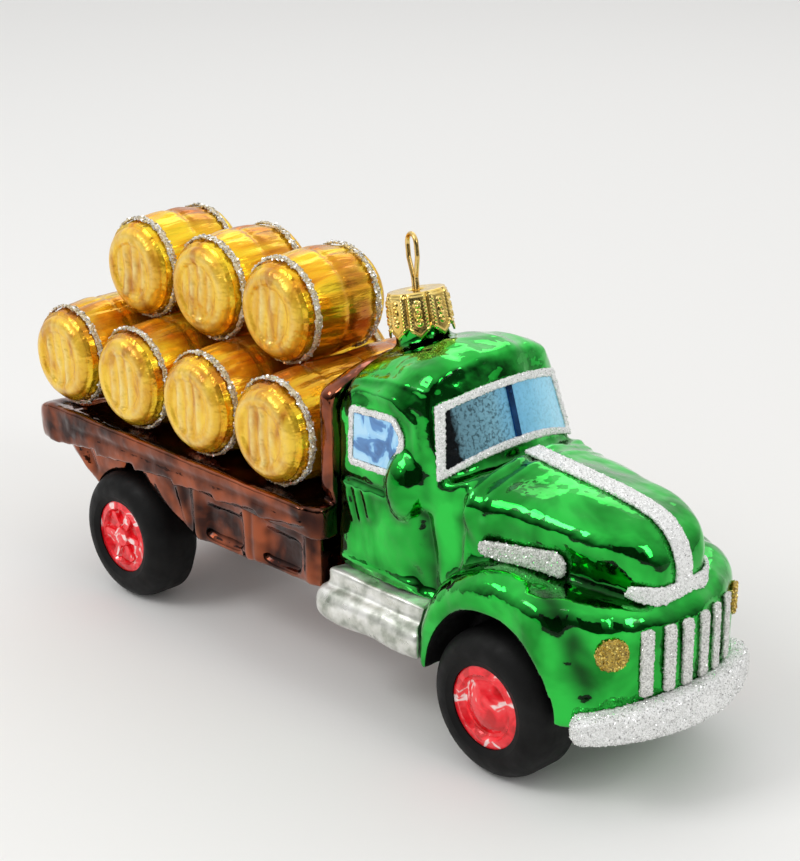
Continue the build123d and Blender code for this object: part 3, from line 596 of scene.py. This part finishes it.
def blown_glass(name, nodes, looks, voxel, ease, lines, swell, other):
    """A soft closed skin over the nodes, pressed with moulded lines, with another look where other holds."""
    points, quads = even_skin(nodes, voxel)
    points = smoothed(points, quads, ease)
    right_side = np.stack([points[:, 0], -np.abs(points[:, 1]), points[:, 2]], axis=1)
    pressed = [(rise, bell(near_line(right_side, line) / half_width)) for line, half_width, rise in lines]
    height = swell * wobble(points, SWELL_PITCH, SWELL_SEED)
    for rise, near in pressed:
        height += rise * near
    height[in_bore(points)] = 0
    points = smoothed(points + outward(points, quads) * height[:, None], quads, PRESS_EASE)
    face_look = None if other is None else other(points[quads].mean(axis=1)).astype(int)
    made = piece(name, points, quads.tolist(), looks, nodes, face_look)
    painted_shade, thin = shade_and_highlight(points, quads, voxel)
    shade_patchiness = soft_patches(points, *SHADE_PATCHES)
    # Sunk moulded lines get painted shade along them
    for rise, near in pressed:
        if rise < 0:
            painted_shade = np.maximum(painted_shade, min(-rise, 1) * shade_patchiness * near)
    marks = smoothed(np.stack([painted_shade, thin, thin], axis=1), quads, MARK_EASE)
    # Marks for the material: painted shade, then painted highlight in the thin mark
    mark(made, "painted_shade", marks[:, 0])
    mark(made, "thin", marks[:, 1])
    return made


GREEN_NODES = ["cab", "bonnet", "nose_shell", "front_fender_right", "front_fender_left"]
GREEN_NODES += ["mirror_bulge_right", "mirror_bulge_left"]
BROWN_NODES = ["bed_floor", "bed_rail", "headboard", "belly", "side_box_right", "side_box_left", "tail_boxes"]
GLASS = (
    # piece, nodes, looks, voxel (mm), easing steps, moulded lines, swell (mm), where the second look is
    # The second look paints the green glass black inside the front wheel arches: painted shade
    ("green_glass", GREEN_NODES, [GREEN, BLACK], 0.43, 12, MOULDED, 0.17, wheel_well),
    ("brown_glass", BROWN_NODES, [BROWN], 0.50, 4, RIBS, 0.12, None),
    ("pearl_step_right", ["running_board_right"], [PEARL], 0.38, 9, (), 0.25, None),
    ("pearl_step_left", ["running_board_left"], [PEARL], 0.38, 9, (), 0.25, None),
)
for row in GLASS:
    blown_glass(*row)


# Barrels: staves round a swelling side, ochre heads with raised boards in an oval (mm)
BARREL_NODES = sorted(name for name in NODES if name.startswith("barrel_") and name != "barrel_hoops")
BARREL_SEED = 11
AROUND = 128
FLANK_ROWS, EDGE_ROWS, HEAD_ROWS, BACK_ROWS = 47, 7, 30, 6
MIDDLE_R = 0.02
# How much narrower than the belly a head is, and a half barrel's plain back, and the first step in on it
HEAD_TAPER, BACK_TAPER, BACK_STEP = 1.85, 0.2, 0.2
# Rounded edge of a head: radius, where its turn starts, and the share of it past the flank
EDGE_ROUND, EDGE_FROM, FLANK_SHARE = 2.2, 0.15, 0.85
# Sunk middle of a head: depth, first step in, width of the ring round it, and width of the slope
HEAD_SINK, RING_STEP, RING_WIDE, RING_SLOPE = 0.45, 0.2, 0.5, 0.9
# Where the flank's relief starts from an end, and how soon it is full
FLANK_FROM, FLANK_FADE = 1.0, 2.0
# Staves: how many, how far (radians) they are turned from barrel to barrel, and the seams between them
STAVES, STAVE_TURN = 16, 0.2
SEAM_SINK, SEAM_WIDE = 0.2, 0.25
WAIST_SINK, WAIST_WIDE = 0.28, 0.7
UNEVEN, UNEVEN_LOW = 0.09, 2.2
UNEVEN_LAYERS = (
    # share, stretch along the barrel, pitch, step from the barrel's seed
    (1.0, 0.35, 5.0, 0),
    (0.7, 0.5, 2.6, 50),
)
# Boards: pitch, rise, shift (radians) from barrel to barrel, sway from side to side, its rate, and the slant
BOARD_PITCH, BOARD_RISE, BOARD_SHIFT = 2.7, 0.4, 0.4
SWAY, SWAY_RATE, SLANT = 0.25, 0.5, 0.06
# Oval of the boards: how far inside the head at its sides and at its top, and how sharp its edge is
OVAL_SIDE, OVAL_TOP, OVAL_SHARP = 3.6, 2.0, 3
# Worn paint on the boards: mean, spread, pitch, and the step from the barrel's seed
WORN_MEAN, WORN_SPREAD, WORN_PITCH, WORN_SEED = 0.75, 0.45, 4.0, 90
# Ochre paint: how far it reaches over a head's edge, its fade, and the pale ring on the edge
PAINT_REACH, PAINT_FADE = 2.2, 1.2
RIM_IN, RIM_WIDE, RIM_PALE = 1.7, 0.5, 0.5
# Brown spray: height of its band, fall on both sides of it, and the least share
SPRAY_BAND, SPRAY_FALL, SPRAY_LEAST = 1.6, 7, 0.1
BARREL_KINDS = {
    # waist and spray band as shares of the length, and spray on the upper side
    "whole": (0.5, 0.62, 0.0),
    "half": (0.45, 0.3, 1.1),
}


def barrel_head(end_r):
    """Radius and depth below the end plane, from the rounded edge to the centre."""
    rows = []
    for turn in np.linspace(EDGE_FROM, 1, EDGE_ROWS) * math.pi / 2:
        rows.append((end_r - EDGE_ROUND * (1 - math.cos(turn)), EDGE_ROUND * (1 - math.sin(turn))))
    ring = end_r - EDGE_ROUND
    for radius in np.linspace(ring - RING_STEP, MIDDLE_R, HEAD_ROWS):
        dip = min(1.0, max(0.0, (ring - RING_WIDE - radius) / RING_SLOPE))
        rows.append((radius, HEAD_SINK * dip * dip * (3 - 2 * dip)))
    return rows


def barrel_rows(belly, length, whole):
    """Radius and place along the barrel, from the middle of its back to the middle of its head."""
    end_r = belly - HEAD_TAPER
    back_r = end_r if whole else belly - BACK_TAPER
    head = barrel_head(end_r)
    if whole:
        back = head[::-1]
    else:
        back = [(radius, 0.0) for radius in np.linspace(MIDDLE_R, back_r - BACK_STEP, BACK_ROWS)]
    flank = []
    start = EDGE_ROUND * FLANK_SHARE if whole else 0.0
    for place in np.linspace(start, length - EDGE_ROUND * FLANK_SHARE, FLANK_ROWS):
        share = 2 * place / length - 1
        narrow = belly - (back_r if share < 0 else end_r)
        flank.append((belly - narrow * share * share, place))
    return np.array(back + flank + [(radius, length - depth) for radius, depth in head])


def flank_relief(flat, angle, from_end, from_waist, seed):
    """How far the flank is sunk: seams between uneven staves, and a line round the waist."""
    flank = np.clip((from_end - FLANK_FROM) / FLANK_FADE, 0, 1)
    uneven = np.full(len(flat), -UNEVEN_LOW)
    for share, along, pitch, step in UNEVEN_LAYERS:
        uneven += share * wobble(flat * (1, along, 1), pitch, seed + step)
    uneven = uneven.reshape(len(from_end), AROUND)
    seam = bell(np.sin(angle * STAVES / 2 + STAVE_TURN * seed) / SEAM_WIDE)[None, :]
    return flank * (UNEVEN * uneven - SEAM_SINK * seam - WAIST_SINK * bell(from_waist / WAIST_WIDE))


def head_boards(flat, x, z, end_r, seed):
    """Shares of raised board: worn strips that sway a little, in an oval."""
    oval = 1.0 - (x / (end_r - OVAL_SIDE)) ** 2 - (z / (end_r - OVAL_TOP)) ** 2
    sway = SWAY * np.sin(SWAY_RATE * z + seed) + SLANT * z
    strips = 0.5 + 0.5 * np.cos(2 * math.pi * (x + sway) / BOARD_PITCH + BOARD_SHIFT * seed)
    worn = soft_patches(flat, WORN_MEAN, WORN_SPREAD, WORN_PITCH, seed + WORN_SEED).reshape(x.shape)
    return np.clip(oval * OVAL_SHARP, 0, 1) * strips * worn


def barrel(node, seed):
    """A barrel lying across the truck, in the CAD barrel's place: whole on top, half below."""
    low, high = box_mm(node)
    centre = (low + high) / 2
    belly = (high[0] - low[0]) / 2
    length = high[1] - low[1]
    whole = "top" in node
    waist_at, spray_at, spray_top = BARREL_KINDS["whole" if whole else "half"]
    facing = -1.0 if centre[1] < 0 else 1.0

    rows = barrel_rows(belly, length, whole)
    radius, place = rows[:, :1], rows[:, 1:]
    angle = np.arange(AROUND) * 2 * math.pi / AROUND
    x, z = radius * np.cos(angle), radius * np.sin(angle)
    flat = np.stack([x, place + 0 * x, z], axis=-1).reshape(-1, 3)
    from_end = np.minimum(place, length - place) if whole else length - place
    sunk = flank_relief(flat, angle, from_end, place - waist_at * length, seed)
    x, z = x * (1 + sunk / np.maximum(radius, 1)), z * (1 + sunk / np.maximum(radius, 1))

    on_head = from_end < FLANK_FROM
    end_r = belly - HEAD_TAPER
    board = head_boards(flat, x, z, end_r, seed) * on_head
    rim = bell((radius - end_r + RIM_IN) / RIM_WIDE) * on_head
    y = centre[1] + facing * (place + BOARD_RISE * board * np.sign(place - length / 2) - length / 2)
    points = np.stack([centre[0] - facing * x, y, centre[2] + z], axis=-1).reshape(-1, 3)
    made = piece("glass_" + node, points, rings_to_quads(len(rows), AROUND), [AMBER], [node])

    band = SPRAY_BAND - SPRAY_FALL * np.abs(place / length - spray_at)
    mark(made, "head", np.clip((PAINT_REACH - from_end) / PAINT_FADE, 0, 1) + 0 * x)
    mark(made, "board", np.clip(board + RIM_PALE * rim, 0, 1))
    mark(made, "spray", np.clip(np.maximum(band, spray_top * z / belly + SPRAY_LEAST), 0, 1))
    return made


for order, node in enumerate(BARREL_NODES):
    barrel(node, BARREL_SEED + order)


# Glitter: a grainy bed over the CAD trim, with loose foil flakes on it (mm)
# Bed: easing steps, roughness and its cut-off, share of uneven thinning and its pitch
BED_EASE = 2
BED_ROUGH, BED_CUT = 0.07, 1.5
BED_UNEVEN, BED_PITCH = 0.6, 2.6
# Flakes: lift off the bed, tilt, and least and greatest half size as shares of the flake size
FLAKE_LIFT, FLAKE_TILT = 0.05, 0.45
FLAKE_SHARES = (0.35, 0.65)
GLITTER_SEED = 100
SILVER = [SILVER_BED, SILVER_FLAKE]
GREY = [GREY_BED, SILVER_FLAKE]
GLITTER = (
    # node, looks, voxel (mm), flakes, flake size (mm), thinned by (mm)
    ("bumper", SILVER, 0.28, 9000, 0.24, 0.0),
    ("bonnet_trim", SILVER, 0.22, 4200, 0.2, 0.0),
    ("grille_bars", GREY, 0.22, 3600, 0.2, 0.0),
    ("side_vents", GREY, 0.22, 2200, 0.26, 0.0),
    ("windscreen_frame", SILVER, 0.22, 2600, 0.2, 0.0),
    ("side_window_frames", SILVER, 0.22, 2200, 0.2, 0.1),
    ("barrel_hoops", [HOOP_BED, SILVER_FLAKE], 0.32, 11000, 0.5, 0.16),
    ("headlamps", [GOLD_BED, GOLD_FLAKE], 0.22, 900, 0.42, 0.0),
)


def flakes(points, triangles, count, size, seed):
    """Small square flakes lying askew on a surface."""
    dice = np.random.default_rng(seed)
    corner = points[triangles]
    face = np.cross(corner[:, 1] - corner[:, 0], corner[:, 2] - corner[:, 0])
    area = np.linalg.norm(face, axis=1)
    pick = dice.choice(len(triangles), count, p=area / area.sum())
    u, v = dice.random(count), dice.random(count)
    fold = u + v > 1
    u, v = np.where(fold, 1 - u, u)[:, None], np.where(fold, 1 - v, v)[:, None]
    spot = corner[pick, 0] * (1 - u - v) + corner[pick, 1] * u + corner[pick, 2] * v
    way = face[pick] / area[pick, None] + FLAKE_TILT * dice.normal(size=(count, 3))
    way /= np.linalg.norm(way, axis=1, keepdims=True)
    first = np.cross(way, dice.normal(size=(count, 3)))
    first /= np.linalg.norm(first, axis=1, keepdims=True)
    second = np.cross(way, first)
    half = size * dice.uniform(*FLAKE_SHARES, (count, 1))
    corners = [spot + first * half, spot + second * half, spot - first * half, spot - second * half]
    return np.stack(corners, axis=1).reshape(-1, 3)


def glitter(node, looks, voxel, count, size, thin, seed):
    """A CAD trim dressed with glitter, its bed thinner and uneven where thin says so."""
    points, quads = even_skin([node], voxel)
    points = smoothed(points, quads, BED_EASE)
    points -= outward(points, quads) * thin * (1 + BED_UNEVEN * wobble(points, BED_PITCH, seed))[:, None]
    dice = np.random.default_rng(seed)
    way = outward(points, quads)
    points = points + way * BED_ROUGH * dice.normal(size=(len(points), 1)).clip(-BED_CUT, BED_CUT)
    triangles = np.concatenate([quads[:, [0, 1, 2]], quads[:, [0, 2, 3]]])
    loose = flakes(points + FLAKE_LIFT * way, triangles, count, size, seed)
    extra = np.arange(len(points), len(points) + len(loose)).reshape(-1, 4)
    faces = quads.tolist() + extra.tolist()
    face_look = [0] * len(quads) + [1] * len(extra)
    return piece("glitter_" + node, np.concatenate([points, loose]), faces, looks, [node], face_look)


for order, row in enumerate(GLITTER):
    glitter(*row, GLITTER_SEED + order)


# Stamped cap: panels with beaded edges, a pointed hem and a round hole for the wire (mm)
CAP_R = 5.5
CAP_RIM_R = 5.9
CAP_H = 7.8
CAP_NOTCH = 1.7
CAP_PANELS = 8
CAP_HOLE = 1.3
CAP_SHEET = 0.32
CAP_INSET = 0.22
CAP_AROUND = 320
CAP_SIDE_ROWS, CAP_INSIDE_ROWS = 70, 8
# How far below the sheet's outside its inside starts, at the side and at the hole
INSIDE_DROP, HOLE_DROP = 0.25, 0.3
CAP_TOP_ROWS = (
    # radius, depth below the top
    (CAP_HOLE, 0.25),
    (CAP_HOLE + 0.1, 0.05),
    (2.2, 0.0),
    (3.4, 0.04),
    (4.4, 0.0),
    (CAP_R - 0.5, 0.02),
)
# Rounded shoulder: depth below the top, how far it is drawn in, and its height
SHOULDER, SHOULDER_IN, SHOULDER_HIGH = 0.35, 0.22, 0.3
# Grooves between the panels and bead rows beside them: height, place across a panel, and width
GROOVE_DEEP, GROOVE_AT, GROOVE_WIDE = 0.45, 0.5, 0.07
BEAD_RISE, BEAD_AT, BEAD_WIDE, BEAD_PITCH = 0.20, 0.33, 0.05, 0.62
# Raised line along the hem: height, distance from the hem, width, where it starts below the top, and its fade
HEM_RISE, HEM_IN, HEM_WIDE = 0.14, 0.45, 0.28
HEM_FROM, HEM_FADE = 1.8, 3
# Rings stamped on a panel: height, half width, share of the size where their line runs, and the line's width
STAMP_RISE, STAMP_HALF, STAMP_AT, STAMP_LINE = 0.26, 0.55, 0.75, 0.32
# Width of a panel, round the cap
PANEL_WIDE = 4.4
STAMPS = (
    # depth below the top, half height
    (1.9, 0.55),
    (3.5, 0.75),
    (5.0, 0.55),
)


def cap_side(drop, across, hem):
    """Radius of the cap's stamped side at a depth below its top."""
    radius = CAP_R + (CAP_RIM_R - CAP_R) * drop / CAP_H - CAP_INSET
    radius = radius - SHOULDER_IN * bell((drop - SHOULDER) / SHOULDER_HIGH)
    radius = radius - GROOVE_DEEP * bell((np.abs(across) - GROOVE_AT) / GROOVE_WIDE)
    beads = 0.5 + 0.5 * np.cos(drop * 2 * math.pi / BEAD_PITCH)
    radius = radius + BEAD_RISE * bell((np.abs(across) - BEAD_AT) / BEAD_WIDE) * beads
    low_down = np.clip((drop - HEM_FROM) / HEM_FADE, 0, 1)
    radius = radius + HEM_RISE * bell((hem - drop - HEM_IN) / HEM_WIDE) * low_down
    stamped = np.zeros(CAP_AROUND)
    for depth, half_high in STAMPS:
        out = np.hypot(across * PANEL_WIDE / STAMP_HALF, (drop - depth) / half_high)
        stamped = np.maximum(stamped, STAMP_RISE * bell((out - STAMP_AT) / STAMP_LINE))
    return radius + stamped


def stamped_cap():
    """The cap's thin sheet, from the hole over the top and the side to the hem and back inside."""
    angle = np.arange(CAP_AROUND) * 2 * math.pi / CAP_AROUND
    across = (angle * CAP_PANELS / (2 * math.pi) + 0.5) % 1 - 0.5
    hem = CAP_H - 2 * CAP_NOTCH * np.abs(across)
    rows = [(np.full(CAP_AROUND, radius), np.full(CAP_AROUND, drop)) for radius, drop in CAP_TOP_ROWS]
    for share in np.linspace(0, 1, CAP_SIDE_ROWS):
        drop = SHOULDER + share * (hem - SHOULDER)
        rows.append((cap_side(drop, across, hem), drop))
    outside = rows[::-1]
    for step in np.linspace(0, CAP_SIDE_ROWS - 1, CAP_INSIDE_ROWS).round().astype(int):
        radius, drop = outside[step]
        rows.append((radius - CAP_SHEET, np.maximum(drop, CAP_SHEET + INSIDE_DROP)))
    rows.append((np.full(CAP_AROUND, CAP_HOLE), np.full(CAP_AROUND, CAP_SHEET + HOLE_DROP)))

    top = Vector(JOINTS["cap_turn"]["pos_m"]) / MM
    up = Vector(JOINTS["cap_turn"]["axis"]).normalized()
    side = Vector((0, 1, 0)).cross(up).normalized()
    points = []
    for radius, drop in rows:
        ring = np.outer(radius * np.cos(angle), side) + np.outer(radius * np.sin(angle), up.cross(side))
        points.append(np.array(top) + ring - np.outer(drop, up))
    quads = rings_to_quads(len(rows), CAP_AROUND)
    return piece("stamped_cap", np.concatenate(points), quads, [CAP_GOLD], ["cap"])


stamped_cap()


# CAD nodes whose shape is right keep it, with a better surface
def dress(node, look):
    """A new material on a CAD node."""
    NODES[node].data.materials.clear()
    NODES[node].data.materials.append(look)


dress("hanger", WIRE_GOLD)
dress("windscreen_panes", SCREEN_BLUE)
dress("side_window_panes", SIDE_BLUE)
dress("windscreen_post", DEEP_BLUE)
for node in NODES:
    if node.startswith("tyre_"):
        dress(node, BLACK)
    elif node.startswith("wheel_disc_"):
        dress(node, RED)

# Camera at the photograph's viewing angle, for a picture of 800 by 861
AZIMUTH, ELEVATION, ROLL = math.radians(46.70), math.radians(20.19), math.radians(-0.56)
TARGET = Vector((7.15, 0, 44.2)) * MM
DISTANCE = 355.8 * MM
FOCAL_PX, LONG_SIDE_PX, SENSOR = 2000.0, 861, 36.0

back = Vector(
    (math.sin(AZIMUTH) * math.cos(ELEVATION), -math.cos(AZIMUTH) * math.cos(ELEVATION), math.sin(ELEVATION))
)
level = Vector((math.cos(AZIMUTH), math.sin(AZIMUTH), 0))
right = math.cos(ROLL) * level + math.sin(ROLL) * back.cross(level)
above = back.cross(right)
camera = bpy.data.objects.new("camera", bpy.data.cameras.new("camera"))
bpy.context.scene.collection.objects.link(camera)
camera.data.sensor_width = SENSOR
camera.data.lens = FOCAL_PX * SENSOR / LONG_SIDE_PX
camera.data.clip_start, camera.data.clip_end = 0.01, 30
turn = Matrix((right, above, back)).transposed().to_4x4()
camera.matrix_world = Matrix.Translation(TARGET + DISTANCE * back) @ turn
bpy.context.scene.camera = camera

# Pale floor, soft boxes and a room that mirrors see darker on the camera's side, in metres
FLOOR_R, FLOOR_SIDES = 9, 96
# Strength of the room for matt surfaces, and the two ends of what mirrors see
ROOM_EVEN = 0.80
ROOM_DARK, ROOM_BRIGHT = 0.06, 1.0
# The way towards the bright end, away from the camera and up, and where along it the two ends are
ROOM_AWAY, ROOM_UP = 0.8, 1.2
ROOM_FROM, ROOM_TO = -0.2, 1.0
# Black card: half width, half height, and how far behind the camera
CARD_WIDE, CARD_HIGH, CARD_BEHIND = 0.20, 0.15, 0.08
LAMP_AIM = Vector((0, 0, 0.035))
LAMPS = (
    # name, place, size, power (W)
    ("key", (-0.25, -0.50, 0.62), (0.36, 0.28), 1.8),
    ("fill", (0.70, 0.05, 0.55), (0.25, 0.25), 1.0),
    ("strip", (-0.35, 0.50, 0.60), (0.50, 0.25), 0.5),
)


def stage_piece(name, corners, look):
    """One flat face that belongs to the stage."""
    mesh = bpy.data.meshes.new(name)
    mesh.from_pydata(corners, [], [list(range(len(corners)))])
    mesh.materials.append(look.material)
    made = bpy.data.objects.new(name, mesh)
    bpy.context.scene.collection.objects.link(made)
    return made


def floor():
    """A round sheet of pale paper."""
    look = Look("floor_paper", roughness=0.7, base_color=(0.84, 0.835, 0.82, 1), specular_level=0.1)
    look.feed("Normal", look.bump(look.noise(900, 2), 0.02))
    angles = [2 * math.pi * k / FLOOR_SIDES for k in range(FLOOR_SIDES)]
    stage_piece("floor", [(FLOOR_R * math.cos(a), FLOOR_R * math.sin(a), 0) for a in angles], look)


def room():
    """An even pale room, which mirrors see as bright beyond the truck and dark on the camera's side."""
    world = bpy.data.worlds.new("room")
    bpy.context.scene.world = world
    world.use_nodes = True
    tree = world.node_tree
    direction = tree.nodes.new("ShaderNodeTexCoord").outputs["Generated"]
    dot = tree.nodes.new("ShaderNodeVectorMath")
    dot.operation = "DOT_PRODUCT"
    dot.inputs[1].default_value = (-ROOM_AWAY * math.sin(AZIMUTH), ROOM_AWAY * math.cos(AZIMUTH), ROOM_UP)
    tree.links.new(direction, dot.inputs[0])
    spread = tree.nodes.new("ShaderNodeMapRange")
    spread.inputs["From Min"].default_value = ROOM_FROM
    spread.inputs["From Max"].default_value = ROOM_TO
    spread.inputs["To Min"].default_value = ROOM_DARK
    spread.inputs["To Max"].default_value = ROOM_BRIGHT
    tree.links.new(dot.outputs["Value"], spread.inputs["Value"])
    strength = tree.nodes.new("ShaderNodeMix")
    tree.links.new(tree.nodes.new("ShaderNodeLightPath").outputs["Is Glossy Ray"], strength.inputs[0])
    strength.inputs[2].default_value = ROOM_EVEN
    tree.links.new(spread.outputs["Result"], strength.inputs[3])
    tree.links.new(strength.outputs[0], tree.nodes["Background"].inputs["Strength"])
    tree.nodes["Background"].inputs["Color"].default_value = (1, 1, 1, 1)


def dark_card():
    """A black card behind the camera, seen only in reflections, that darkens parts of the mirror glass."""
    look = Look("card_black", roughness=0.9, base_color=(0.01, 0.01, 0.01, 1))
    middle = TARGET + (DISTANCE + CARD_BEHIND) * back
    corners = []
    for a, b in ((-1, -1), (1, -1), (1, 1), (-1, 1)):
        corners.append(tuple(middle + a * CARD_WIDE * right + b * CARD_HIGH * above))
    made = stage_piece("dark_card", corners, look)
    made.visible_camera = False
    made.visible_diffuse = False
    made.visible_shadow = False


def soft_box(name, place, size, power):
    """A soft lamp aimed at the truck."""
    light = bpy.data.lights.new(name, "AREA")
    light.shape = "RECTANGLE"
    light.size, light.size_y = size
    light.energy = power
    made = bpy.data.objects.new(name, light)
    bpy.context.scene.collection.objects.link(made)
    made.location = place
    made.rotation_mode = "QUATERNION"
    made.rotation_quaternion = (LAMP_AIM - Vector(place)).to_track_quat("-Z", "Y")


floor()
room()
dark_card()
for row in LAMPS:
    soft_box(*row)

bpy.context.scene.view_settings.view_transform = "Standard"
